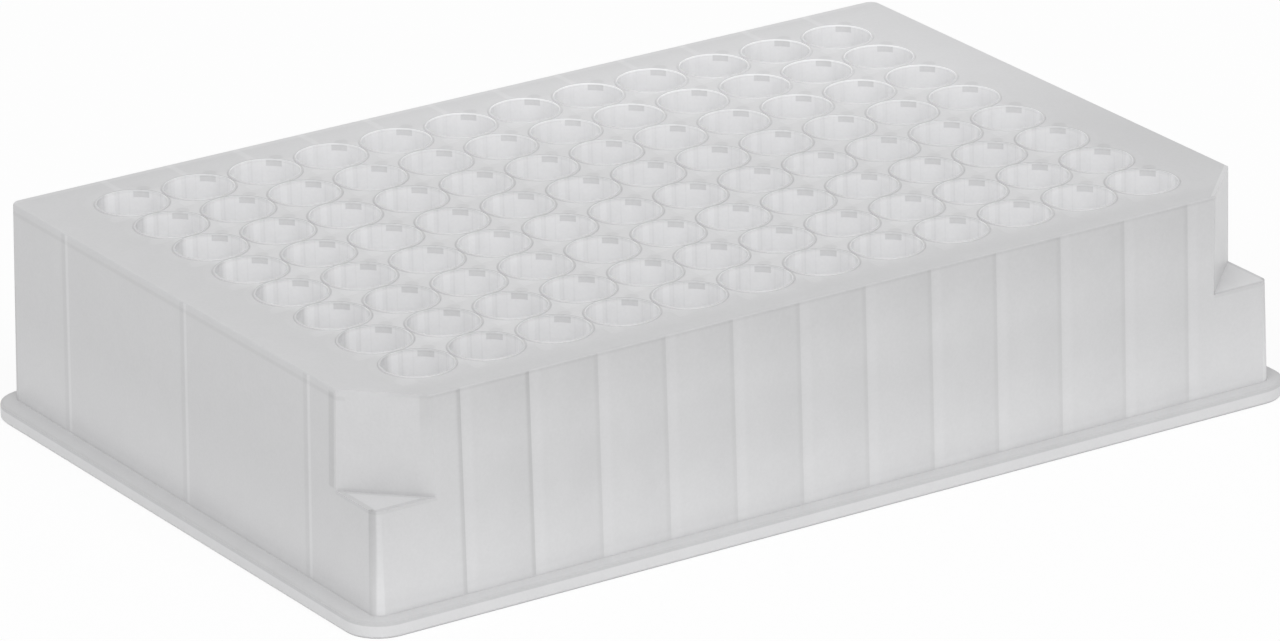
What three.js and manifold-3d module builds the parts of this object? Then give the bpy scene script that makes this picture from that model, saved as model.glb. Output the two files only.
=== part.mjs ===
// Storage plate with 96 round wells, moulded in one piece from natural polypropylene.
// Millimetres, +Z up. The origin is the centre of the footprint, on the surface the plate stands on.
import * as THREE from 'three';
import { mergeVertices } from 'three/addons/utils/BufferGeometryUtils.js';
import Module from 'manifold-3d';

const wasm = await Module();
wasm.setup();

// Footprint and height
const plateLength = 127.76;
const plateWidth = 85.48;
const plateHeight = 26.6;
const footCornerRadius = 4.5;

// Foot flange, the band that the plate stands on. The skirt stands further in at the short ends.
const flangeHeight = 2;
const flangeBevel = 0.4;
const endStep = 2.5;
const sideStep = 1.9;

// Skirt, the four drafted walls above the flange
const skirtWall = 1.2;
const skirtDraftDegrees = 1.1;
const skirtCornerRadius = 1.3;
const deckThickness = 1;

// Cut corners, both at the ends of the same long side, above a ledge
const notchLeg = 8;
const ledgeHeight = 14.4;

// Wells
const columnCount = 12;
const rowCount = 8;
const wellPitch = 9;
const wellMouthRadius = 4.2;
const wellWall = 0.6;
const wellDraftDegrees = 0.6;
const wellConeHeight = 5.2;
const wellTipGap = 2;
const wellFloor = 0.9;
const wellSides = 12;

// Ribs between the outer wells and the skirt
const ribThickness = 0.7;
const ribStart = 6;
const endRibOffset = 3 * wellPitch;

// Facets on round corners, and the overshoot of a cut past the face it opens
const cornerSteps = 4;
const overshoot = 1;

const radians = Math.PI / 180;
const skirtSlope = Math.tan(skirtDraftDegrees * radians);
const wellSlope = Math.tan(wellDraftDegrees * radians);
const deckUnderside = plateHeight - deckThickness;
const wellTipHeight = wellTipGap + wellFloor;
const coneTop = wellTipHeight + wellConeHeight;

// A polygon with the area of a circle has its corners this much further out than the circle
const sideAngle = (2 * Math.PI) / wellSides;
const polygonFactor = Math.sqrt(sideAngle / Math.sin(sideAngle));

const evenInset = (distance) => new THREE.Vector2(distance, distance);
const skirtInsetAt = (height) => (
  new THREE.Vector2(endStep, sideStep).addScalar((height - flangeHeight) * skirtSlope)
);
const wellRadiusAt = (height) => wellMouthRadius - (plateHeight - height) * wellSlope;

// A closed geometry becomes a solid once its shared vertices are merged.
function toSolid(geometry) {
  geometry.deleteAttribute('normal');
  geometry.deleteAttribute('uv');
  const merged = mergeVertices(geometry, 1e-4);
  return new wasm.Manifold(new wasm.Mesh({
    numProp: 3,
    vertProperties: Float32Array.from(merged.attributes.position.array),
    triVerts: Uint32Array.from(merged.index.array),
  }));
}

function toGeometry(solid) {
  const mesh = solid.getMesh();
  const geometry = new THREE.BufferGeometry();
  geometry.setAttribute('position', new THREE.BufferAttribute(mesh.vertProperties, 3));
  geometry.setIndex(new THREE.BufferAttribute(mesh.triVerts, 1));
  geometry.computeVertexNormals();
  return geometry;
}

const joinAll = (solids) => solids.reduce((whole, solid) => whole.add(solid));

// The plate's plan outline, drawn in from the footprint by an inset along X and Y, with rounded corners.
function planOutline(inset, cornerRadius) {
  const halfLength = plateLength / 2 - inset.x;
  const halfWidth = plateWidth / 2 - inset.y;
  const points = [];
  for (let corner = 0; corner < 4; corner += 1) {
    const signX = corner === 0 || corner === 3 ? 1 : -1;
    const signY = corner < 2 ? 1 : -1;
    const centreX = signX * (halfLength - cornerRadius);
    const centreY = signY * (halfWidth - cornerRadius);
    for (let step = 0; step <= cornerSteps; step += 1) {
      const angle = (corner + step / cornerSteps) * (Math.PI / 2);
      points.push(new THREE.Vector2(
        centreX + cornerRadius * Math.cos(angle),
        centreY + cornerRadius * Math.sin(angle),
      ));
    }
  }
  return points;
}

// A solid lofted through plan outlines of equal point counts, each given with its height.
function loft(sections) {
  const count = sections[0].outline.length;
  const positions = [];
  for (const { outline, height } of sections) {
    for (const point of outline) positions.push(point.x, point.y, height);
  }
  const indices = [];
  for (let layer = 0; layer + 1 < sections.length; layer += 1) {
    for (let i = 0; i < count; i += 1) {
      const low = layer * count + i;
      const lowNext = layer * count + ((i + 1) % count);
      indices.push(low, lowNext, low + count);
      indices.push(lowNext, lowNext + count, low + count);
    }
  }
  const top = (sections.length - 1) * count;
  for (const [a, b, c] of THREE.ShapeUtils.triangulateShape(sections[0].outline, [])) {
    indices.push(a, c, b);
    indices.push(top + a, top + b, top + c);
  }
  const geometry = new THREE.BufferGeometry();
  geometry.setAttribute('position', new THREE.Float32BufferAttribute(positions, 3));
  geometry.setIndex(indices);
  return toSolid(geometry);
}

// A round solid about a vertical axis from [radius, height] pairs, with flats facing along X and Y.
function wellTurning(profile) {
  const points = profile.map(([radius, height]) => new THREE.Vector2(radius * polygonFactor, height));
  const geometry = new THREE.LatheGeometry(points, wellSides);
  geometry.rotateX(Math.PI / 2);
  geometry.rotateZ(sideAngle / 2);
  return toSolid(geometry);
}

function block(width, depth, height, x, y, z) {
  const geometry = new THREE.BoxGeometry(width, depth, height);
  geometry.translate(x, y, z);
  return toSolid(geometry);
}

const wellCentres = [];
for (let column = 0; column < columnCount; column += 1) {
  for (let row = 0; row < rowCount; row += 1) {
    wellCentres.push([
      (column - (columnCount - 1) / 2) * wellPitch,
      (row - (rowCount - 1) / 2) * wellPitch,
    ]);
  }
}
const atEachWell = (solid) => joinAll(wellCentres.map(([x, y]) => solid.translate([x, y, 0])));

// What stands outside the cut corners: one triangular prism at each end of the long side at -Y.
// The extra distance moves the cut face inwards, for the hollow behind it.
function cutCorners(floorHeight, inwards) {
  const inset = skirtInsetAt(ledgeHeight);
  const leg = notchLeg + inwards * Math.SQRT2;
  const outwards = Math.max(inset.x, inset.y) + overshoot;
  const shape = new THREE.Shape([
    new THREE.Vector2(-outwards, -outwards),
    new THREE.Vector2(leg + outwards, -outwards),
    new THREE.Vector2(-outwards, leg + outwards),
  ]);
  const depth = plateHeight + overshoot - floorHeight;
  const cornerX = plateLength / 2 - inset.x;
  const cornerY = plateWidth / 2 - inset.y;
  return [1, -1].map((side) => {
    const geometry = new THREE.ExtrudeGeometry(shape, { depth, bevelEnabled: false });
    if (side < 0) geometry.rotateZ(Math.PI / 2);
    geometry.translate(-side * cornerX, -cornerY, floorHeight);
    return toSolid(geometry);
  });
}

// The outside of the plate: flange with a bevelled top edge, then the drafted skirt up to the deck.
function outerForm() {
  const flange = loft([
    { outline: planOutline(evenInset(0), footCornerRadius), height: 0 },
    { outline: planOutline(evenInset(0), footCornerRadius), height: flangeHeight - flangeBevel },
    { outline: planOutline(evenInset(flangeBevel), footCornerRadius - flangeBevel), height: flangeHeight },
  ]);
  const skirt = loft([
    { outline: planOutline(skirtInsetAt(0), skirtCornerRadius), height: 0 },
    { outline: planOutline(skirtInsetAt(plateHeight), skirtCornerRadius), height: plateHeight },
  ]);
  const [nearLeft, nearRight] = cutCorners(ledgeHeight, 0);
  return flange.add(skirt.subtract(nearLeft).subtract(nearRight));
}

// The hollow under the deck, which follows the outside one wall thickness in.
function innerHollow() {
  const radius = Math.max(skirtCornerRadius - skirtWall, 0.2);
  const footRadius = footCornerRadius - skirtWall;
  const flangeHollow = loft([
    { outline: planOutline(evenInset(skirtWall), footRadius), height: -overshoot },
    { outline: planOutline(evenInset(skirtWall), footRadius), height: flangeHeight - skirtWall },
  ]);
  const skirtHollow = loft([
    { outline: planOutline(skirtInsetAt(0).addScalar(skirtWall), radius), height: -overshoot },
    { outline: planOutline(skirtInsetAt(deckUnderside).addScalar(skirtWall), radius), height: deckUnderside },
  ]);
  const [nearLeft, nearRight] = cutCorners(ledgeHeight - skirtWall, skirtWall);
  return flangeHollow.add(skirtHollow.subtract(nearLeft).subtract(nearRight));
}

// Well tubes hang from the middle of the deck and overlap their neighbours, which makes the webs.
function wellTubes() {
  const tubeTop = plateHeight - deckThickness / 2;
  return atEachWell(wellTurning([
    [0, wellTipGap],
    [wellRadiusAt(coneTop) + wellWall, coneTop],
    [wellRadiusAt(tubeTop) + wellWall, tubeTop],
    [0, tubeTop],
  ]));
}

// The insides of the wells: a drafted bore over a cone, open at the deck.
function wellBores() {
  return atEachWell(wellTurning([
    [0, wellTipHeight],
    [wellRadiusAt(coneTop), coneTop],
    [wellRadiusAt(plateHeight + overshoot), plateHeight + overshoot],
    [0, plateHeight + overshoot],
  ]));
}

// Upright ribs: one at each column on both long sides, and three at each end, between the rows.
function skirtRibs() {
  const ribTop = plateHeight - deckThickness / 2;
  const height = ribTop - ribStart;
  const middle = (ribTop + ribStart) / 2;
  const lastColumn = ((columnCount - 1) / 2) * wellPitch;
  const lastRow = ((rowCount - 1) / 2) * wellPitch;
  const longSideReach = plateWidth / 2 - lastRow;
  const endReach = plateLength / 2 - lastColumn;
  const ribs = [];
  for (const side of [1, -1]) {
    for (let column = 0; column < columnCount; column += 1) {
      const x = (column - (columnCount - 1) / 2) * wellPitch;
      const y = side * (lastRow + longSideReach / 2);
      ribs.push(block(ribThickness, longSideReach, height, x, y, middle));
    }
    for (const y of [-endRibOffset, 0, endRibOffset]) {
      const x = side * (lastColumn + endReach / 2);
      ribs.push(block(endReach, ribThickness, height, x, y, middle));
    }
  }
  return joinAll(ribs);
}

const outside = outerForm();
const shell = outside.subtract(innerHollow());
const body = shell
  .add(wellTubes())
  .add(skirtRibs().intersect(outside))
  .subtract(wellBores());

const polypropylene = new THREE.MeshStandardMaterial({ color: 0xd6d6d3, roughness: 0.4, metalness: 0 });
const plate = new THREE.Mesh(toGeometry(body), polypropylene);
plate.name = 'plate_body';

const wellPlate = new THREE.Group();
wellPlate.name = 'well_plate';
wellPlate.add(plate);

export default wellPlate;
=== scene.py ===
import math

import bmesh
import bpy
from mathutils import Matrix, Vector


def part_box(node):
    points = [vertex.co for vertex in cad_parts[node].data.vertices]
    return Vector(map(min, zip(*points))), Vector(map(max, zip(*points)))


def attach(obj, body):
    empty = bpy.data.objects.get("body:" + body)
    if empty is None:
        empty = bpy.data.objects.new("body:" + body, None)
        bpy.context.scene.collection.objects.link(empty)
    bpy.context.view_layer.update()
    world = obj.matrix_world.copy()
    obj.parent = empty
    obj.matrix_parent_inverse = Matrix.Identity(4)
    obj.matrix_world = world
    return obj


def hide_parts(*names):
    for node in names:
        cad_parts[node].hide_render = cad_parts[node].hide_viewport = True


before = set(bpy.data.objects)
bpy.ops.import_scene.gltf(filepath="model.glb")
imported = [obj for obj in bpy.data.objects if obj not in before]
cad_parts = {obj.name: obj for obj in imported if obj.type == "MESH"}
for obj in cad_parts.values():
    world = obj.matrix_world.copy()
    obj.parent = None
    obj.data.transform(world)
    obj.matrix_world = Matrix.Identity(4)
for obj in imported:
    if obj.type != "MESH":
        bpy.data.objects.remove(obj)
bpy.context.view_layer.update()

mm = 0.001
bodyLow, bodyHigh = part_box("plate_body")


def linearColour(hexCode):
    # sRGB hex to the linear values that the shaders take
    parts = [int(hexCode[i:i + 2], 16) / 255 for i in (1, 3, 5)]
    return (*[p / 12.92 if p <= 0.04045 else ((p + 0.055) / 1.055) ** 2.4 for p in parts], 1.0)


def addNode(tree, kind, settings=None, inputs=None):
    # one node, its settings, and its inputs by name or number: a value, or the socket to link
    node = tree.nodes.new(kind)
    for name, value in (settings or {}).items():
        setattr(node, name, value)
    for key, value in (inputs or {}).items():
        if isinstance(value, bpy.types.NodeSocket):
            tree.links.new(value, node.inputs[key])
        else:
            node.inputs[key].default_value = value
    return node


# sizes in millimetres; the overall ones are read from the frame
plate = {
    "length": (bodyHigh[0] - bodyLow[0]) / mm,
    "width": (bodyHigh[1] - bodyLow[1]) / mm,
    "height": (bodyHigh[2] - bodyLow[2]) / mm,
    "footRadius": 4.5,
    "flangeHeight": 2.0,
    "flangeBevel": 0.4,
    "endStep": 2.5,
    "sideStep": 1.9,
    "wall": 1.2,
    "draftDegrees": 1.1,
    "cornerRadius": 1.3,
    "deckThickness": 1.0,
    "notchLeg": 8.0,
    "ledgeHeight": 14.4,
    "arcSteps": 8,
    "sinkDepth": 0.05,
    "sinkHalfWidth": 0.5,
    "edgeRound": 0.25,
    "underEdge": (0.25, 0.3),
    "bevelRound": (0.18, 0.3),
    "innerCornerRadius": 0.5,
    "sharpDegrees": 32,
}
wells = {
    "columns": 12,
    "rows": 8,
    "pitch": 9.0,
    "sides": 40,
    "boreRadius": 4.13,
    "boreFootRadius": 3.95,
    "lipOuterRadius": 4.44,
    "lipHeight": 0.14,
    "edgeRound": 0.09,
    "lipFoot": 0.03,
    "boreStep": (0.05, 5.0),
    "coneShares": (0.92, 0.5, 0.12),
    "boreTipFlat": (0.15, 0.05),
    "tubeRadius": 4.46,
    "tubeTipRounds": ((0.5, 0.0), (0.9, 0.25)),
    "tubeShoulder": (0.95, -0.3, 0.6),
    "coneTop": 8.1,
    "boreTip": 2.9,
    "tubeTip": 2.0,
    "weldDistance": 0.004,
}
ribs = {
    "thickness": 0.7,
    "start": 6.0,
    "endOffset": 27.0,
    "tubeOverlap": 0.15,
    "neckDepth": 0.6,
}
roundAngles = (0, 30, 60, 90)
tiny = 1e-6
deckTop = plate["height"] - wells["lipHeight"]
deckUnder = deckTop - plate["deckThickness"]
blockHalf = (wells["columns"] * wells["pitch"] / 2, wells["rows"] * wells["pitch"] / 2)
columnXs = [(c - (wells["columns"] - 1) / 2) * wells["pitch"] for c in range(wells["columns"])]
rowYs = [(r - (wells["rows"] - 1) / 2) * wells["pitch"] for r in range(wells["rows"])]


def skirtInset(height, extra=0.0):
    # how far the skirt stands inside the footprint, along X and along Y
    rise = (height - plate["flangeHeight"]) * math.tan(math.radians(plate["draftDegrees"]))
    return Vector((plate["endStep"] + rise + extra, plate["sideStep"] + rise + extra))


def squarePoints(half, sides):
    # points of a square seen from its middle at equal angles, so that neighbours share them
    points = []
    for k in range(sides):
        c = math.cos(2 * math.pi * k / sides)
        s = math.sin(2 * math.pi * k / sides)
        reach = half / max(abs(c), abs(s))
        points.append(Vector((reach * c, reach * s)))
    return points


def circlePoints(radius, sides):
    angles = [2 * math.pi * k / sides for k in range(sides)]
    return [Vector((radius * math.cos(a), radius * math.sin(a))) for a in angles]


def wellProfile():
    # radius and height, over the lip, down the bore to its tip, then up the outside of the tube
    lip, bore, foot = wells["lipOuterRadius"], wells["boreRadius"], wells["boreFootRadius"]
    top, edge, coneTop = plate["height"], wells["edgeRound"], wells["coneTop"]
    arc = [math.radians(a) for a in roundAngles]
    over = [(lip - edge * (1 - math.cos(a)), top - edge * (1 - math.sin(a))) for a in arc]
    into = [(bore + edge * (1 - math.sin(a)), top - edge * (1 - math.cos(a))) for a in arc]
    boreTip, coneHeight = wells["boreTip"], coneTop - wells["boreTip"]
    cone = [(foot * t, boreTip + coneHeight * t) for t in wells["coneShares"]]
    stepIn, stepDown = wells["boreStep"]
    flatRadius, flatHeight = wells["boreTipFlat"]
    inside = [(bore - stepIn, top - stepDown), (foot, coneTop)] + cone
    inside.append((flatRadius, boreTip + flatHeight))
    tube = wells["tubeRadius"]
    outside = [(radius, wells["tubeTip"] + rise) for radius, rise in wells["tubeTipRounds"]]
    share, low, high = wells["tubeShoulder"]
    outside += [(tube * share, coneTop + low), (tube, coneTop + high), (tube, deckUnder)]
    return [(lip + wells["lipFoot"], deckTop)] + over + into + inside, outside


def wellCell():
    sides = wells["sides"]
    inside, outside = wellProfile()
    square = squarePoints(wells["pitch"] / 2, sides)
    bm = bmesh.new()

    def ring(points, height):
        return [bm.verts.new((p.x * mm, p.y * mm, height * mm)) for p in points]

    def skin(rings):
        for low, high in zip(rings, rings[1:]):
            for k in range(sides):
                n = (k + 1) % sides
                bm.faces.new((low[k], low[n], high[n], high[k]))

    bore = [ring(square, deckTop)] + [ring(circlePoints(r, sides), z) for r, z in inside]
    tube = [ring(circlePoints(r, sides), z) for r, z in outside] + [ring(square, deckUnder)]
    skin(bore)
    skin(tube)
    bm.faces.new(bore[-1])
    bm.faces.new(list(reversed(tube[0])))
    mesh = bpy.data.meshes.new("wellCell")
    bm.to_mesh(mesh)
    bm.free()
    cell = bpy.data.objects.new("wellCell", mesh)
    bpy.context.scene.collection.objects.link(cell)
    return cell


def outline(inset, radius, sink=0.0, cut=False, cutInwards=0.0):
    # plan outline of the skirt, anticlockwise from the +X side
    halves = (plate["length"] / 2 - inset[0], plate["width"] / 2 - inset[1])
    atLedge = skirtInset(plate["ledgeHeight"])
    leg = plate["notchLeg"] + sum(atLedge) - sum(inset) + cutInwards * math.sqrt(2)
    endMarks = [-ribs["endOffset"], 0.0, ribs["endOffset"]]
    points = []
    for side in range(4):
        outward = Vector((round(math.cos(side * math.pi / 2)), round(math.sin(side * math.pi / 2))))
        along = Vector((-outward.y, outward.x))
        out, half = (halves[0], halves[1]) if side % 2 == 0 else (halves[1], halves[0])
        for mark in (endMarks if side % 2 == 0 else columnXs):
            for offset in (-1, 0, 1):
                depth = sink if offset == 0 else 0.0
                place = mark + offset * plate["sinkHalfWidth"]
                points.append(outward * (out - depth) + along * place)
        nextOut, nextHalf = (half, out)
        notched = side in (2, 3)
        if notched:
            points.append(outward * out + along * (half - leg))
        if not (notched and cut):
            centre = outward * (out - radius) + along * (half - radius)
            for step in range(plate["arcSteps"] + 1):
                a = math.pi / 2 * step / plate["arcSteps"]
                points.append(centre + radius * (outward * math.cos(a) + along * math.sin(a)))
        if notched:
            points.append(along * nextOut - outward * (leg - nextHalf))
    return points


def blockBorder():
    # the outer edge of the wells' squares, anticlockwise, with the points that they have there
    square = squarePoints(wells["pitch"] / 2, wells["sides"])
    edge = sorted({round(p.y, 6) for p in square if abs(p.x - wells["pitch"] / 2) < tiny})
    halfX, halfY = blockHalf
    right = [Vector((halfX, y + t)) for y in rowYs for t in edge[:-1]]
    back = [Vector((-x - t, halfY)) for x in columnXs for t in edge[:-1]]
    left = [Vector((-halfX, -y - t)) for y in rowYs for t in edge[:-1]]
    front = [Vector((x + t, -halfY)) for x in columnXs for t in edge[:-1]]
    return right + back + left + front


def skirtObject():
    bm = bmesh.new()
    foot, wall, flange = plate["footRadius"], plate["wall"], plate["flangeHeight"]
    bevel, ledge, corner = plate["flangeBevel"], plate["ledgeHeight"], plate["cornerRadius"]
    sink = plate["sinkDepth"]

    def ring(points, height):
        return [bm.verts.new((p.x * mm, p.y * mm, height * mm)) for p in points]

    def skin(low, high):
        for k in range(len(low)):
            n = (k + 1) % len(low)
            bm.faces.new((low[k], low[n], high[n], high[k]))

    def fill(outer, inner):
        bounds = [bm.edges.get((loop[k - 1], loop[k])) or bm.edges.new((loop[k - 1], loop[k]))
                  for loop in (outer, inner) for k in range(len(loop))]
        bmesh.ops.triangle_fill(bm, edges=bounds, use_beauty=True)

    def withoutCuts(loop, full, short):
        # the vertices of a full outline that the cut outline keeps, and the two arcs that it drops
        kept, dropped, i = [], [], 0
        for point in short:
            while (full[i] - point).length > tiny:
                dropped.append(i)
                i += 1
            kept.append(loop[i])
            i += 1
        return kept, dropped

    def wallWithLedge(base, heightLow, heightHigh, extra, radius, depth):
        insetLow, insetHigh = skirtInset(heightLow, extra), skirtInset(heightHigh, extra)
        full = outline(insetLow, radius, depth, False, extra)
        atLedge = ring(full, heightLow)
        skin(base, atLedge)
        kept, dropped = withoutCuts(atLedge, full, outline(insetLow, radius, depth, True, extra))
        for side in (0, 1):
            arc = dropped[side * len(dropped) // 2:(side + 1) * len(dropped) // 2]
            bm.faces.new([atLedge[i % len(atLedge)] for i in range(arc[0] - 1, arc[-1] + 2)])
        upper = ring(outline(insetHigh, radius, depth, True, extra), heightHigh)
        skin(kept, upper)
        return upper

    # outside: flange, wall up to the ledge, then the wall with the two cut corners
    underIn, underUp = plate["underEdge"]
    roundIn, roundDown = plate["bevelRound"]
    levels = [(underIn, 0.0), (0.0, underUp), (0.0, flange - bevel),
              (roundIn * bevel, flange - roundDown * bevel), (bevel, flange)]
    rings = [ring(outline((inset, inset), foot - inset), height) for inset, height in levels]
    rings.append(ring(outline(skirtInset(flange), corner, sink), flange))
    for low, high in zip(rings, rings[1:]):
        skin(low, high)
    last = wallWithLedge(rings[-1], ledge, deckTop - plate["edgeRound"], 0.0, corner, sink)
    for angle in roundAngles[1:]:
        turn, fade = math.radians(angle), 1 - angle / 90
        inwards = plate["edgeRound"] * (1 - math.cos(turn))
        height = deckTop - plate["edgeRound"] * (1 - math.sin(turn))
        inset = skirtInset(height, inwards)
        edge = ring(outline(inset, corner - inwards, sink * fade, True), height)
        skin(last, edge)
        last = edge
    fill(last, ring(blockBorder(), deckTop))

    # inside: one wall thickness in
    innerRadius = plate["innerCornerRadius"]
    hollow = [ring(outline((wall, wall), foot - wall), height) for height in (0.0, flange - wall)]
    hollow.append(ring(outline(skirtInset(flange, wall), innerRadius), flange - wall))
    skin(rings[0], hollow[0])
    for low, high in zip(hollow, hollow[1:]):
        skin(low, high)
    ceiling = wallWithLedge(hollow[-1], ledge - wall, deckUnder, wall, innerRadius, 0.0)
    fill(ceiling, ring(blockBorder(), deckUnder))

    bmesh.ops.recalc_face_normals(bm, faces=bm.faces)
    mesh = bpy.data.meshes.new("plateMoulding")
    bm.to_mesh(mesh)
    bm.free()
    skirt = bpy.data.objects.new("plateMoulding", mesh)
    bpy.context.scene.collection.objects.link(skirt)
    return skirt


def ribMesh():
    # upright ribs from the outer wells to the skirt, as closed blocks that end inside its wall
    bm = bmesh.new()
    low, high = ribs["start"], deckUnder + plate["deckThickness"] / 2
    half = ribs["thickness"] / 2
    start = wells["tubeRadius"] - ribs["tubeOverlap"]
    wallIn = plate["wall"] / 2

    def rib(origin, outward, reachLow, reachHigh, startAt):
        across = Vector((-outward.y, outward.x)) * half
        corners = []
        for height, reach in ((low, reachLow), (high, reachHigh)):
            for distance in (startAt, reach):
                for sign in (-1, 1):
                    p = origin + outward * distance + across * sign
                    corners.append(bm.verts.new((p.x * mm, p.y * mm, height * mm)))
        for face in ((0, 1, 3, 2), (4, 6, 7, 5), (0, 2, 6, 4), (1, 5, 7, 3), (0, 4, 5, 1),
                     (2, 3, 7, 6)):
            bm.faces.new([corners[i] for i in face])

    def reaches(extent, side, centre):
        return [extent / 2 - skirtInset(h)[side] - wallIn - centre for h in (low, high)]

    neck = math.sqrt(start ** 2 - (start - ribs["neckDepth"]) ** 2)  # between two tubes
    lastX, lastY = columnXs[-1], rowYs[-1]
    for sign in (-1, 1):
        for x in columnXs:
            sideReaches = reaches(plate["width"], 1, lastY)
            rib(Vector((x, sign * lastY)), Vector((0, sign)), *sideReaches, start)
        for y in (-ribs["endOffset"], 0.0, ribs["endOffset"]):
            endReaches = reaches(plate["length"], 0, lastX)
            rib(Vector((sign * lastX, y)), Vector((sign, 0)), *endReaches, neck)
    bmesh.ops.recalc_face_normals(bm, faces=bm.faces)
    mesh = bpy.data.meshes.new("ribs")
    bm.to_mesh(mesh)
    bm.free()
    return mesh


def wellGridTree(material):
    # copies one well's square on a grid, joins the skirt to it, and welds the seams
    tree = bpy.data.node_groups.new("wellGrid", "GeometryNodeTree")
    face = tree.interface
    face.new_socket("Skirt", in_out="INPUT", socket_type="NodeSocketGeometry")
    for name, kind in (("Well", "Object"), ("Columns", "Int"), ("Rows", "Int"), ("Length", "Float"),
                       ("Width", "Float"), ("Weld Distance", "Float")):
        face.new_socket(name, in_out="INPUT", socket_type="NodeSocket" + kind)
    face.new_socket("Geometry", in_out="OUTPUT", socket_type="NodeSocketGeometry")
    given = addNode(tree, "NodeGroupInput").outputs
    cell = addNode(tree, "GeometryNodeObjectInfo", None, {"Object": given["Well"]})
    grid = addNode(tree, "GeometryNodeMeshGrid", None, {
        "Size X": given["Length"], "Size Y": given["Width"],
        "Vertices X": given["Columns"], "Vertices Y": given["Rows"]})
    spread = addNode(tree, "GeometryNodeInstanceOnPoints", None, {
        "Points": grid.outputs["Mesh"], "Instance": cell.outputs["Geometry"]})
    joined = addNode(tree, "GeometryNodeJoinGeometry")
    tree.links.new(spread.outputs["Instances"], joined.inputs[0])
    tree.links.new(given["Skirt"], joined.inputs[0])
    real = addNode(tree, "GeometryNodeRealizeInstances", None, {
        "Geometry": joined.outputs["Geometry"]})
    weld = addNode(tree, "GeometryNodeMergeByDistance", None, {
        "Geometry": real.outputs["Geometry"], "Distance": given["Weld Distance"]})
    finish = addNode(tree, "GeometryNodeSetMaterial", None, {
        "Geometry": weld.outputs["Geometry"], "Material": material})
    addNode(tree, "NodeGroupOutput", None, {"Geometry": finish.outputs["Geometry"]})
    return tree


def applied(thing):
    # the evaluated object as a plain mesh
    evaluated = thing.evaluated_get(bpy.context.evaluated_depsgraph_get())
    return bpy.data.meshes.new_from_object(evaluated)


def plateBody(material):
    skirt = skirtObject()
    cell = wellCell()
    tree = wellGridTree(material)
    weld = skirt.modifiers.new("wells", "NODES")
    weld.node_group = tree
    values = {
        "Well": cell, "Columns": wells["columns"], "Rows": wells["rows"],
        "Length": (wells["columns"] - 1) * wells["pitch"] * mm,
        "Width": (wells["rows"] - 1) * wells["pitch"] * mm,
        "Weld Distance": wells["weldDistance"] * mm}
    for item in tree.interface.items_tree:
        if item.in_out == "INPUT" and item.name in values:
            weld[item.identifier] = values[item.name]
    # the ribs are made one with the rest, so that no face is left inside the walls
    blocks = bpy.data.objects.new("ribs", ribMesh())
    bpy.context.scene.collection.objects.link(blocks)
    union = skirt.modifiers.new("ribs", "BOOLEAN")
    union.operation, union.solver, union.object = "UNION", "EXACT", blocks
    mesh = applied(skirt)
    for thing in (skirt, cell, blocks):
        bpy.data.objects.remove(thing)
    mesh.shade_smooth()
    mesh.set_sharp_from_angle(angle=math.radians(plate["sharpDegrees"]))
    body = bpy.data.objects.new("plateBody", mesh)
    bpy.context.scene.collection.objects.link(body)
    return body


# natural polypropylene, injection moulded: to the eye it is milky, with a satin face; the soft
# lines and patches of what lies behind the face are painted light and shade in its colour
polypropylene = {
    "wallColour": "#cbcbcc",
    # the bores are a lighter copy of the wall colour: painted light that evens out the shade deep
    # in the wells
    "paintedLightBoreColour": "#eeeeef",
    "ior": 1.49,
    "roughness": 0.36,
    "roughnessSpread": 0.05,
    "cloudRange": (0.3, 0.7),
    "bumpStrength": 0.3,
    "bumpDepth": 0.02,
    "mottleSize": 3.0,
    "mottleDetail": 2.0,
    "grainSize": 0.35,
    "grainDetail": 1.0,
}
# how much lighter or darker each mark makes the colour, as a share of it; all but mottle and grain
# are painted light and shade
paintedLightShadeAndMottle = {
    "deck": 0.02,
    "lipLightAndShade": 0.15,
    "boreEndsLight": 0.1,
    "firstColumnShade": -0.16,
    "rimShade": -0.07,
    "lip": -0.02,
    "rimLightBand": 0.02,
    "block": 0.09,
    "seamShadeLine": -0.03,
    "seamShadeEdge": -0.045,
    "seamLight": 0.06,
    "boreDepthLight": 0.05,
    "boreDeepLight": 0.08,
    "boreMouthShade": -0.08,
    "backGlareEven": 0.6,
    "webPatchShade": -0.09,
    "webLight": 0.05,
    "webShade": -0.12,
    "webFaintShade": -0.05,
    "backLight": 0.17,
    "backBoreLight": 0.05,
    "frontBoreShade": -0.035,
    "sideRibShade": -0.05,
    "sideRibNearShade": -0.09,
    "sideRibLight": 0.03,
    "panelShadeFall": -0.04,
    "endRibLight": 0.09,
    "endRibShade": -0.06,
    "sideLowLight": 0.12,
    "endLowLight": 0.09,
    "topShade": -0.075,
    "topShadeLine": -0.06,
    "corner": -0.2,
    "flangeShadeLine": -0.1,
    "flangeTopLight": 0.02,
    "foot": 0.04,
    "flangeFaceLight": 0.12,
    "ledge": -0.06,
    "ledgeMiddleLight": 0.13,
    "cutLight": 0.12,
    "cutEdgeShade": -0.12,
    "frontMarginShade": -0.05,
    "frontEdgeShade": -0.03,
    "backEdgeLight": 0.07,
    "mottle": 0.03,
    "grain": 0.03,
}
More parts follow.
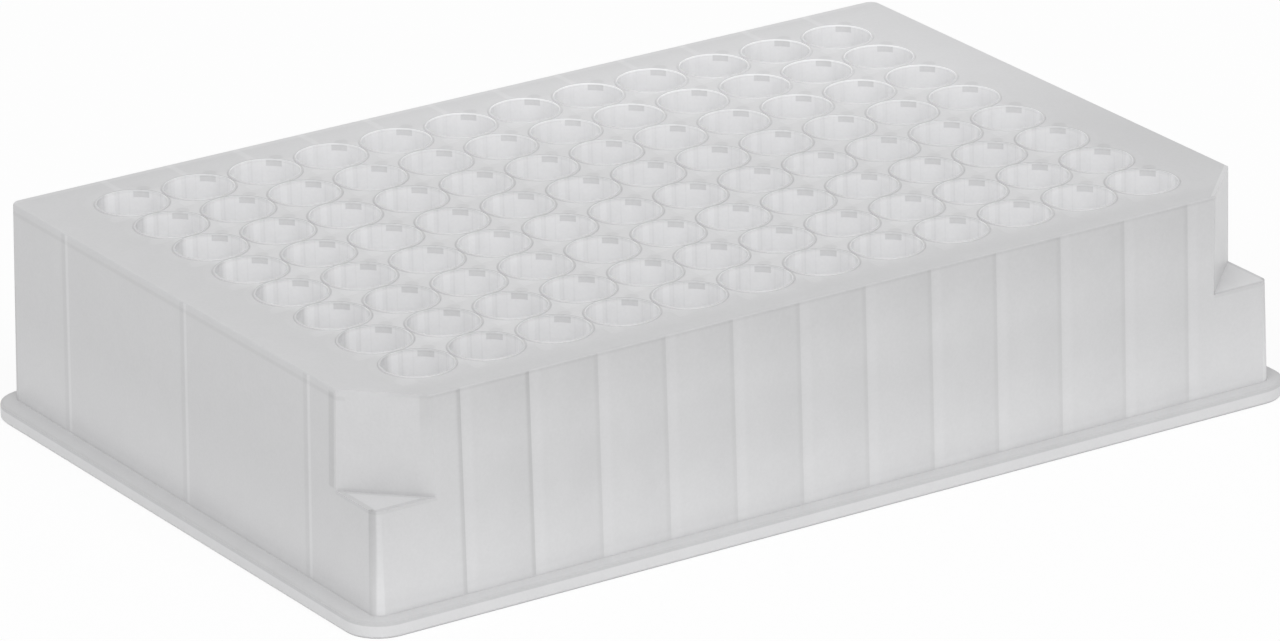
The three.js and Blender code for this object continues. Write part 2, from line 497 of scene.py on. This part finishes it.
# where the marks on the wells lie, in millimetres: a middle, a half width and a soft edge for a
# stripe; an edge and how soft it is for a step, which turns the other way where that is negative
wellPlaces = {
    "inBore": (wells["boreRadius"] + 0.06, -0.02),
    "onDeck": (deckTop - 0.05, 0.02),
    "lipLightAndShade": (4.25, 0.14, 0.06),
    "onLip": (plate["height"] - 0.12, 0.04),
    "boreEndsLight": (3.0, 1.8),
    "leftEnd": (-3.3, -0.5),
    "firstColumnShade": (-43.0, -4.0),
    "rimShade": (4.42, 0.05, 0.1),
    "lip": (4.22, 0.1, 0.06),
    "rimLightBand": (4.95, 0.3, 0.5),
    "blockX": (52, -1.5),
    "blockY": (34, -1.5),
    "outsideRim": (4.55, 0.1),
    "seamShadeLine": (1.7, 0.03, 0.09),
    "seamShadeEdge": (0.5, 0.05, 0.12),
    "seamLight": (-0.5, 0.4, 0.15),
    "boreDepthLight": (24.4, -4.0),
    "boreDeepLight": (19.0, -5.0),
    "boreMouthShade": (26.3, 0.3),
    "atBack": (22, 36),
    "atFront": (-24, -36),
    "webPatchShade": (0, 0.6, 0.4),
    "webLight": (0, 0.8, 0.7),
    "webLightRim": (4.6, 0.15),
    "webShade": (2.15, 0.1),
    "webDepth": (plate["height"] - 0.52, 0.33, 0.06),
}
# directions across the plate, and middles of patches from the middle of a well
wellDirections = {
    "againstLight": (-0.12, -0.19, 0),
    "sideways": (0.84, -0.54, 0),
    "towardsBack": (0.4, 0.9, 0),
    "webPatchShade": (3.55, 3.55, 0),
    "webLight": (-3.85, -3.85, 0),
}
# the same for the walls, the flange and the edges
wallPlaces = {
    "onSide": (39.5, 0.2),
    "onEnd": (60.2, 0.2),
    "betweenEnds": (52.5, -0.5),
    "sideRibShade": (8.9, 0.2, 0.5),
    "sideRibNearShade": (8.9, 0.2, 0.4),
    "nearRibs": (-38.0, -12.0),
    "sideRibLight": (0.75, 0.2, 0.8),
    "panels": (49.6, -0.3),
    "panelShadeFall": (5.5, 7.0),
    "endRibLight": (0, 0.18, 0.2),
    "endRibShade": (0.75, 0.2, 0.4),
    "lowLight": (9, -14),
    "topShade": (22, 8),
    "topShadeLine": (25.4, 0.12, 0.25),
    "cornerX": (60.7, 0.3),
    "cornerY": (39.9, 0.3, 0.3),
    "flangeShadeLine": (1.76, 0.2, 0.08),
    "flangeTopLight": (2.0, 0.1, 0.1),
    "foot": (2.5, 0.2, 0.6),
    "flangeFaceLight": (0.85, 0.6, 0.2),
}
# the same for the cut corners and the deck's margins; X and Y together say how near a corner is
cutPlaces = {
    "atFront": (0, -1),
    "atLeft": (0, -1),
    "atRight": (0, 1),
    "overLedge": (plate["ledgeHeight"], 0.3, 0.2),
    "leftLedge": (93.6, 0.2),
    "rightLedge": (93.8, 0.4),
    "rightLedgeY": (40.2, 0.2),
    "cutLow": (14.0, 0.2),
    "cutFace": (93.1, 0.2),
    "cutFaceY": (40.1, -0.2),
    "cutFaceX": (60.7, -0.2),
    "ledgeMiddleLight": (94.5, 0.4),
    "ledgeMiddleX": (60.5, -0.3),
    "ledgeMiddleY": (39.9, -0.3),
    "aboveLedge": (plate["ledgeHeight"] + 0.2, 0.2),
    "belowDeck": (25.9, -0.3),
    "cutEdgeShade": (92.8, 0.4, 0.3),
    "top": (26.0, 0.3),
    "frontMarginShade": (-37.5, -3),
    "frontEdgeShade": (-39.9, -0.3),
    "edgeRound": (26.3, 0.15, 0.1),
    "backEdgeLight": (39.4, 0.6),
    "backMargin": (36.2, 0.6),
    "backRib": (0.9, 0.2, 0.4),
}


def stripe(tree, value, middle, half, soft):
    # 1 where the value is within half of the middle, fading to 0 over the soft edge
    offset = addNode(tree, "ShaderNodeMath", {"operation": "SUBTRACT"}, {0: value, 1: middle})
    away = addNode(tree, "ShaderNodeMath", {"operation": "ABSOLUTE"}, {0: offset.outputs[0]})
    return addNode(tree, "ShaderNodeMapRange", {"interpolation_type": "SMOOTHSTEP"}, {
        "Value": away.outputs[0], "From Min": half, "From Max": half + soft,
        "To Min": 1.0, "To Max": 0.0}).outputs["Result"]


def beyond(tree, value, edge, soft):
    # 0 below the edge and 1 above it, or the other way round where soft is negative
    low, high = (0.0, 1.0) if soft > 0 else (1.0, 0.0)
    return addNode(tree, "ShaderNodeMapRange", {"interpolation_type": "SMOOTHSTEP"}, {
        "Value": value, "From Min": edge - abs(soft) / 2, "From Max": edge + abs(soft) / 2,
        "To Min": low, "To Max": high}).outputs["Result"]


def toned(tree, tone, amount, *masks):
    # the tone so far, made lighter or darker where all the masks meet
    product = masks[0]
    for mask in masks[1:]:
        product = addNode(tree, "ShaderNodeMath", {"operation": "MULTIPLY"}, {
            0: product, 1: mask}).outputs[0]
    return addNode(tree, "ShaderNodeMath", {"operation": "MULTIPLY_ADD"}, {
        0: product, 1: amount, 2: tone}).outputs[0]


def centred(tree, value):
    # noise of 0 to 1 moved to -1 to 1
    return addNode(tree, "ShaderNodeMath", {"operation": "MULTIPLY_ADD"}, {
        0: value, 1: 2.0, 2: -1.0}).outputs[0]


def mouldingPlace(tree):
    # the place on the moulding in millimetres, and the same from the middle of the nearest well
    coordinates = addNode(tree, "ShaderNodeTexCoord")
    place = addNode(tree, "ShaderNodeVectorMath", {"operation": "SCALE"}, {
        0: coordinates.outputs["Object"], "Scale": 1 / mm}).outputs[0]
    pitch = wells["pitch"]
    anyHeight = 1000
    corner = addNode(tree, "ShaderNodeVectorMath", {"operation": "SNAP"}, {
        0: place, 1: (pitch, pitch, pitch)})
    middle = addNode(tree, "ShaderNodeVectorMath", {"operation": "ADD"}, {
        0: corner.outputs[0], 1: (pitch / 2, pitch / 2, 0)})
    below = addNode(tree, "ShaderNodeVectorMath", {"operation": "MINIMUM"}, {
        0: middle.outputs[0], 1: (columnXs[-1], rowYs[-1], anyHeight)})
    inside = addNode(tree, "ShaderNodeVectorMath", {"operation": "MAXIMUM"}, {
        0: below.outputs[0], 1: (columnXs[0], rowYs[0], -anyHeight)})
    local = addNode(tree, "ShaderNodeVectorMath", {"operation": "SUBTRACT"}, {
        0: place, 1: inside.outputs[0]})
    flat = addNode(tree, "ShaderNodeVectorMath", {"operation": "MULTIPLY"}, {
        0: local.outputs[0], 1: (1, 1, 0)}).outputs[0]
    return place, flat


def wellPaintedLightAndShade(tree, at, place, flat, inBore, onDeck):
    # painted light and shade on the wells and the deck between them, as a factor on the colour
    places, ways = wellPlaces, wellDirections
    radius = addNode(tree, "ShaderNodeVectorMath", {"operation": "LENGTH"}, {
        0: flat}).outputs["Value"]
    localX, localY, _ = addNode(tree, "ShaderNodeSeparateXYZ", None, {0: flat}).outputs
    least = addNode(tree, "ShaderNodeMath", {"operation": "MINIMUM"}, {
        0: localX, 1: localY}).outputs[0]
    folded = addNode(tree, "ShaderNodeVectorMath", {"operation": "ABSOLUTE"}, {0: flat})
    foldedX, foldedY, _ = addNode(tree, "ShaderNodeSeparateXYZ", None, {
        0: folded.outputs[0]}).outputs
    leastFolded = addNode(tree, "ShaderNodeMath", {"operation": "MINIMUM"}, {
        0: foldedX, 1: foldedY}).outputs[0]

    # painted light and shade: the deck a little lighter; the lips lighter where they face away from
    # the lamps and darker where they face them, and the ends of the bores lighter, standing for
    # light that the milky plastic scatters; painted shade at the left ends of the bores in the
    # first column
    tone = toned(tree, 1.0, paintedLightShadeAndMottle["deck"], onDeck)
    facing = addNode(tree, "ShaderNodeVectorMath", {"operation": "DOT_PRODUCT"}, {
        0: flat, 1: ways["againstLight"]}).outputs["Value"]
    tone = toned(tree, tone, paintedLightShadeAndMottle["lipLightAndShade"], stripe(tree, radius, *places["lipLightAndShade"]),
                 beyond(tree, at["z"], *places["onLip"]), facing)
    sideways = addNode(tree, "ShaderNodeVectorMath", {"operation": "DOT_PRODUCT"}, {
        0: flat, 1: ways["sideways"]}).outputs["Value"]
    sidewaysFar = addNode(tree, "ShaderNodeMath", {"operation": "ABSOLUTE"}, {
        0: sideways}).outputs[0]
    tone = toned(tree, tone, paintedLightShadeAndMottle["boreEndsLight"], inBore,
                 beyond(tree, sidewaysFar, *places["boreEndsLight"]))
    tone = toned(tree, tone, paintedLightShadeAndMottle["firstColumnShade"], inBore,
                 beyond(tree, sideways, *places["leftEnd"]),
                 beyond(tree, at["x"], *places["firstColumnShade"]))

    # painted shade lines at the rims and lips, a faint painted light band round them, and painted
    # light on the deck between them, away from the margins
    for name in ("rimShade", "lip", "rimLightBand"):
        tone = toned(tree, tone, paintedLightShadeAndMottle[name], stripe(tree, radius, *places[name]), onDeck)
    inBlock = addNode(tree, "ShaderNodeMath", {"operation": "MULTIPLY"}, {
        0: beyond(tree, at["farX"], *places["blockX"]),
        1: beyond(tree, at["farY"], *places["blockY"])}).outputs[0]
    tone = toned(tree, tone, paintedLightShadeAndMottle["block"], onDeck, inBlock,
                 beyond(tree, radius, *places["outsideRim"]))

    # in the bores: painted shade lines where the next tubes join them, with painted light beside
    # them, painted light low down and painted shade just under the mouth
    tone = toned(tree, tone, paintedLightShadeAndMottle["seamShadeLine"], inBore,
                 stripe(tree, leastFolded, *places["seamShadeLine"]))
    for name in ("seamShadeEdge", "seamLight"):
        tone = toned(tree, tone, paintedLightShadeAndMottle[name], inBore, stripe(tree, least, *places[name]))
    for name in ("boreDepthLight", "boreDeepLight", "boreMouthShade"):
        tone = toned(tree, tone, paintedLightShadeAndMottle[name], inBore, beyond(tree, at["z"], *places[name]))

    # fainter towards one corner at the back: painted glare that evens the marks above towards the
    # plain colour, where light also comes in through the far walls
    towardsBack = addNode(tree, "ShaderNodeVectorMath", {"operation": "DOT_PRODUCT"}, {
        0: place, 1: ways["towardsBack"]}).outputs["Value"]
    atBack = beyond(tree, towardsBack, *places["atBack"])
    difference = addNode(tree, "ShaderNodeMath", {"operation": "SUBTRACT"}, {
        0: 1.0, 1: tone}).outputs[0]
    tone = toned(tree, tone, paintedLightShadeAndMottle["backGlareEven"], atBack, difference)

    # painted shade where the web between four wells stands: dark in the bore wall towards the back
    # and fainter towards the other three, a soft patch on the deck behind, and painted light on the
    # deck in front
    patch = addNode(tree, "ShaderNodeVectorMath", {"operation": "DISTANCE"}, {
        0: flat, 1: ways["webPatchShade"]}).outputs["Value"]
    light = addNode(tree, "ShaderNodeVectorMath", {"operation": "DISTANCE"}, {
        0: flat, 1: ways["webLight"]}).outputs["Value"]
    webDepth = stripe(tree, at["z"], *places["webDepth"])
    tone = toned(tree, tone, paintedLightShadeAndMottle["webPatchShade"], stripe(tree, patch, *places["webPatchShade"]), onDeck)
    tone = toned(tree, tone, paintedLightShadeAndMottle["webLight"], stripe(tree, light, *places["webLight"]), onDeck,
                 beyond(tree, radius, *places["webLightRim"]))
    tone = toned(tree, tone, paintedLightShadeAndMottle["webShade"], inBore, webDepth, beyond(tree, least, *places["webShade"]))
    tone = toned(tree, tone, paintedLightShadeAndMottle["webFaintShade"], inBore, webDepth,
                 beyond(tree, leastFolded, *places["webShade"]))

    # and painted light on the deck and in the bores there, with painted shade in the bores at the
    # other corner
    tone = toned(tree, tone, paintedLightShadeAndMottle["backLight"], atBack, onDeck)
    tone = toned(tree, tone, paintedLightShadeAndMottle["backBoreLight"], atBack, inBore)
    return toned(tree, tone, paintedLightShadeAndMottle["frontBoreShade"],
                 beyond(tree, towardsBack, *places["atFront"]), inBore)


def wallPaintedLightAndShade(tree, tone, at, onWall, onEnd, betweenEnds):
    # painted light and shade on the four walls and the flange
    places = wallPlaces
    onSide = beyond(tree, at["farY"], *places["onSide"])

    # long sides: painted shade as a dark line where each rib stands behind the wall, painted light
    # beside it, and painted shade towards each panel's far end
    for name in ("sideRibShade", "sideRibNearShade", "sideRibLight"):
        masks = [onSide, onWall, betweenEnds, stripe(tree, at["fromRib"], *places[name])]
        if name == "sideRibNearShade":
            masks.append(beyond(tree, at["x"], *places["nearRibs"]))
        tone = toned(tree, tone, paintedLightShadeAndMottle[name], *masks)
    tone = toned(tree, tone, paintedLightShadeAndMottle["panelShadeFall"], onSide, onWall,
                 beyond(tree, at["farX"], *places["panels"]),
                 beyond(tree, at["fromRib"], *places["panelShadeFall"]))

    # short ends: three painted light lines where the ribs stand, each with a painted shade line
    # beside it
    half = ribs["endOffset"] / 2
    fromMiddle = addNode(tree, "ShaderNodeMath", {"operation": "WRAP"}, {
        0: at["y"], 1: half, 2: -half}).outputs[0]
    for name in ("endRibLight", "endRibShade"):
        tone = toned(tree, tone, paintedLightShadeAndMottle[name], onEnd, onWall,
                     stripe(tree, fromMiddle, *places[name]))

    # painted light low down, where more light comes through; painted shade at the top of the walls,
    # along the top edge of the ends and down the corners; on the flange, a painted shade line at
    # the bevel and painted light on its top, on the foot of the wall and on its outer face
    low = beyond(tree, at["z"], *places["lowLight"])
    tone = toned(tree, tone, paintedLightShadeAndMottle["sideLowLight"], onSide, low, onWall)
    tone = toned(tree, tone, paintedLightShadeAndMottle["topShade"], onSide,
                 beyond(tree, at["z"], *places["topShade"]), onWall)
    tone = toned(tree, tone, paintedLightShadeAndMottle["endLowLight"], onEnd, low, onWall)
    tone = toned(tree, tone, paintedLightShadeAndMottle["topShadeLine"], onEnd, stripe(tree, at["z"], *places["topShadeLine"]))
    tone = toned(tree, tone, paintedLightShadeAndMottle["corner"], onWall,
                 beyond(tree, at["farX"], *places["cornerX"]),
                 stripe(tree, at["farY"], *places["cornerY"]))
    for name in ("flangeShadeLine", "flangeTopLight", "foot", "flangeFaceLight"):
        tone = toned(tree, tone, paintedLightShadeAndMottle[name], stripe(tree, at["z"], *places[name]))
    return tone


def cutPaintedLightAndShade(tree, tone, at, onDeck, onEnd, betweenEnds):
    # painted light and shade on the two cut corners with their ledges, and on the deck's margins
    places = cutPlaces
    towardsCorner = addNode(tree, "ShaderNodeMath", {"operation": "ADD"}, {
        0: at["farX"], 1: at["farY"]}).outputs[0]
    atFront = beyond(tree, at["y"], *places["atFront"])
    atLeft = beyond(tree, at["x"], *places["atLeft"])
    atRight = beyond(tree, at["x"], *places["atRight"])
    overLedge = stripe(tree, at["z"], *places["overLedge"])

    # painted shade at the ledges' edges and along the cut edges, painted light in the middle of the
    # left ledge and on the cut above the right one
    tone = toned(tree, tone, paintedLightShadeAndMottle["ledge"], overLedge, atFront, atLeft,
                 beyond(tree, towardsCorner, *places["leftLedge"]))
    tone = toned(tree, tone, paintedLightShadeAndMottle["ledge"], overLedge, atFront, atRight,
                 beyond(tree, towardsCorner, *places["rightLedge"]),
                 beyond(tree, at["farY"], *places["rightLedgeY"]))
    tone = toned(tree, tone, paintedLightShadeAndMottle["cutLight"], atFront, atRight,
                 beyond(tree, at["z"], *places["cutLow"]),
                 beyond(tree, towardsCorner, *places["cutFace"]),
                 beyond(tree, at["farY"], *places["cutFaceY"]),
                 beyond(tree, at["farX"], *places["cutFaceX"]))
    tone = toned(tree, tone, paintedLightShadeAndMottle["ledgeMiddleLight"], overLedge, atFront, atLeft,
                 beyond(tree, towardsCorner, *places["ledgeMiddleLight"]),
                 beyond(tree, at["farX"], *places["ledgeMiddleX"]),
                 beyond(tree, at["farY"], *places["ledgeMiddleY"]))
    tone = toned(tree, tone, paintedLightShadeAndMottle["cutEdgeShade"], onEnd, atFront,
                 beyond(tree, at["z"], *places["aboveLedge"]),
                 stripe(tree, towardsCorner, *places["cutEdgeShade"]),
                 beyond(tree, at["z"], *places["belowDeck"]))

    # painted shade on the front margin and its edge; painted light on the back edge and in lines
    # over the ribs under the back margin
    onTop = beyond(tree, at["z"], *places["top"])
    tone = toned(tree, tone, paintedLightShadeAndMottle["frontMarginShade"], onTop,
                 beyond(tree, at["y"], *places["frontMarginShade"]))
    tone = toned(tree, tone, paintedLightShadeAndMottle["frontEdgeShade"], stripe(tree, at["z"], *places["edgeRound"]),
                 beyond(tree, at["y"], *places["frontEdgeShade"]))
    tone = toned(tree, tone, paintedLightShadeAndMottle["backEdgeLight"], onTop,
                 beyond(tree, at["y"], *places["backEdgeLight"]))
    return toned(tree, tone, paintedLightShadeAndMottle["backEdgeLight"], onDeck, betweenEnds,
                 beyond(tree, at["y"], *places["backMargin"]),
                 stripe(tree, at["fromRib"], *places["backRib"]))


def mouldingPaintedLightAndMottle(tree, cloud, grain, place, flat, inBore):
    # painted light and shade, and the plastic's own unevenness, as a factor on its colour
    x, y, z = addNode(tree, "ShaderNodeSeparateXYZ", None, {0: place}).outputs
    evened = addNode(tree, "ShaderNodeVectorMath", {"operation": "ABSOLUTE"}, {0: place})
    farX, farY, _ = addNode(tree, "ShaderNodeSeparateXYZ", None, {0: evened.outputs[0]}).outputs
    fromFirst = addNode(tree, "ShaderNodeMath", {"operation": "SUBTRACT"}, {0: x, 1: columnXs[0]})
    fromRib = addNode(tree, "ShaderNodeMath", {"operation": "WRAP"}, {
        0: fromFirst.outputs[0], 1: wells["pitch"], 2: 0.0}).outputs[0]
    at = {"x": x, "y": y, "z": z, "farX": farX, "farY": farY, "fromRib": fromRib}

    onDeck = beyond(tree, z, *wellPlaces["onDeck"])
    wallMiddle = (deckTop + plate["flangeHeight"]) / 2
    wallHalf = (deckTop - plate["flangeHeight"]) / 2
    wallSoft = 0.3
    onWall = stripe(tree, z, wallMiddle, wallHalf - wallSoft, wallSoft)
    onEnd = beyond(tree, farX, *wallPlaces["onEnd"])
    betweenEnds = beyond(tree, farX, *wallPlaces["betweenEnds"])
    tone = wellPaintedLightAndShade(tree, at, place, flat, inBore, onDeck)
    tone = wallPaintedLightAndShade(tree, tone, at, onWall, onEnd, betweenEnds)
    tone = cutPaintedLightAndShade(tree, tone, at, onDeck, onEnd, betweenEnds)
    tone = toned(tree, tone, paintedLightShadeAndMottle["mottle"], centred(tree, cloud))
    return toned(tree, tone, paintedLightShadeAndMottle["grain"], centred(tree, grain))


def polypropyleneMaterial():
    material = bpy.data.materials.new("naturalPolypropyleneWithPaintedLightAndShade")
    material.use_nodes = True
    tree = material.node_tree
    tree.nodes.clear()
    p = polypropylene
    place, flat = mouldingPlace(tree)
    # the cloudiness of natural polypropylene, drawn coarse enough to show, and a finer grain
    cloud = addNode(tree, "ShaderNodeTexNoise", None, {
        "Vector": place, "Scale": 1 / p["mottleSize"], "Detail": p["mottleDetail"]}).outputs["Fac"]
    grain = addNode(tree, "ShaderNodeTexNoise", None, {
        "Vector": place, "Scale": 1 / p["grainSize"], "Detail": p["grainDetail"]}).outputs["Fac"]
    radius = addNode(tree, "ShaderNodeVectorMath", {"operation": "LENGTH"}, {
        0: flat}).outputs["Value"]
    inBore = beyond(tree, radius, *wellPlaces["inBore"])
    tone = mouldingPaintedLightAndMottle(tree, cloud, grain, place, flat, inBore)
    # the lighter bore colour is painted light
    colour = addNode(tree, "ShaderNodeMix", {"data_type": "RGBA"}, {
        0: inBore, 6: linearColour(p["wallColour"]), 7: linearColour(p["paintedLightBoreColour"])})
    shaded = addNode(tree, "ShaderNodeVectorMath", {"operation": "SCALE"}, {
        0: colour.outputs[2], "Scale": tone})
    low, high = p["cloudRange"]
    roughness = addNode(tree, "ShaderNodeMapRange", None, {
        "Value": cloud, "From Min": low, "From Max": high,
        "To Min": p["roughness"] - p["roughnessSpread"],
        "To Max": p["roughness"] + p["roughnessSpread"]})
    uneven = addNode(tree, "ShaderNodeBump", None, {
        "Height": grain, "Strength": p["bumpStrength"], "Distance": p["bumpDepth"] * mm})
    shader = addNode(tree, "ShaderNodeBsdfPrincipled", None, {
        "Base Color": shaded.outputs[0],
        "Roughness": roughness.outputs["Result"],
        "Normal": uneven.outputs["Normal"],
        "IOR": p["ior"],
    })
    addNode(tree, "ShaderNodeOutputMaterial", None, {"Surface": shader.outputs["BSDF"]})
    return material


studio = {
    "floorSize": 6.0,
    "floorColour": "#f6f6f6",
    "whiteShare": 0.88,
    "worldStrength": 0.6,
    "softboxSize": 1.6,
    "softboxDistance": 2.4,
    "softboxPower": 16.0,
    "softboxAzimuths": (6.0, 52.0),
    "softboxElevation": 50.0,
}
view = {
    "azimuth": 32.65,
    "elevation": 21.07,
    "roll": -1.14,
    "lens": 251.2,
    "sensorWidth": 36.0,
    "clipEnd": 50.0,
    "place": (-0.52514, -0.81959, 0.38556),
}


def makeStudio():
    # two softboxes in front and a pale room; the camera sees a white room and a near-white floor
    scene = bpy.context.scene
    scene.view_settings.view_transform = "Standard"
    world = bpy.data.worlds.new("paleRoom")
    scene.world = world
    world.use_nodes = True
    tree = world.node_tree
    tree.nodes.clear()
    white = (1, 1, 1, 1)
    light = addNode(tree, "ShaderNodeBackground", None, {
        "Color": white, "Strength": studio["worldStrength"]})
    seen = addNode(tree, "ShaderNodeBackground", None, {"Color": white, "Strength": 1.0})
    path = addNode(tree, "ShaderNodeLightPath")
    mixed = addNode(tree, "ShaderNodeMixShader", None, {
        0: path.outputs["Is Camera Ray"],
        1: light.outputs["Background"], 2: seen.outputs["Background"]})
    addNode(tree, "ShaderNodeOutputWorld", None, {"Surface": mixed.outputs["Shader"]})

    elevation = math.radians(studio["softboxElevation"])
    level, rise = math.cos(elevation), math.sin(elevation)
    for degrees in studio["softboxAzimuths"]:
        azimuth = math.radians(degrees)
        away = Vector((-math.sin(azimuth) * level, -math.cos(azimuth) * level, rise))
        lamp = bpy.data.lights.new("softbox", "AREA")
        lamp.size = studio["softboxSize"]
        lamp.energy = studio["softboxPower"]
        softbox = bpy.data.objects.new("softbox", lamp)
        scene.collection.objects.link(softbox)
        softbox.matrix_world = (Matrix.Translation(away * studio["softboxDistance"])
                                @ away.to_track_quat("Z", "Y").to_matrix().to_4x4())
        softbox.visible_camera = False

    mesh = bpy.data.meshes.new("floor")
    reach = studio["floorSize"] / 2
    corners = [(-reach, -reach, 0), (reach, -reach, 0), (reach, reach, 0), (-reach, reach, 0)]
    mesh.from_pydata(corners, [], [(0, 1, 2, 3)])
    floor = bpy.data.objects.new("floor", mesh)
    scene.collection.objects.link(floor)
    material = bpy.data.materials.new("palePaperFloor")
    material.use_nodes = True
    tree = material.node_tree
    tree.nodes.clear()
    paper = addNode(tree, "ShaderNodeBsdfDiffuse", None, {
        "Color": linearColour(studio["floorColour"])})
    glow = addNode(tree, "ShaderNodeEmission", None, {"Color": white, "Strength": 1.0})
    path = addNode(tree, "ShaderNodeLightPath")
    share = addNode(tree, "ShaderNodeMath", {"operation": "MULTIPLY"}, {
        0: path.outputs["Is Camera Ray"], 1: studio["whiteShare"]})
    mixed = addNode(tree, "ShaderNodeMixShader", None, {
        0: share.outputs[0], 1: paper.outputs["BSDF"], 2: glow.outputs["Emission"]})
    addNode(tree, "ShaderNodeOutputMaterial", None, {"Surface": mixed.outputs["Shader"]})
    mesh.materials.append(material)


def makeCamera():
    data = bpy.data.cameras.new("camera")
    data.lens = view["lens"]
    data.sensor_width = view["sensorWidth"]
    data.clip_end = view["clipEnd"]
    camera = bpy.data.objects.new("camera", data)
    bpy.context.scene.collection.objects.link(camera)
    azimuth, elevation = math.radians(view["azimuth"]), math.radians(view["elevation"])
    level = math.cos(elevation)
    forward = Vector((math.sin(azimuth) * level, math.cos(azimuth) * level, -math.sin(elevation)))
    right = Vector((math.cos(azimuth), -math.sin(azimuth), 0))
    up = right.cross(forward)
    facing = Matrix((right, up, -forward)).transposed().to_4x4()
    turned = facing @ Matrix.Rotation(math.radians(view["roll"]), 4, "Z")
    camera.matrix_world = Matrix.Translation(view["place"]) @ turned
    bpy.context.scene.camera = camera


makeStudio()
makeCamera()
print("studio and camera made")
material = polypropyleneMaterial()
print("polypropylene ready")
body = plateBody(material)
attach(body, "root")
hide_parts("plate_body")
print("plate moulded:", len(body.data.vertices), "points")
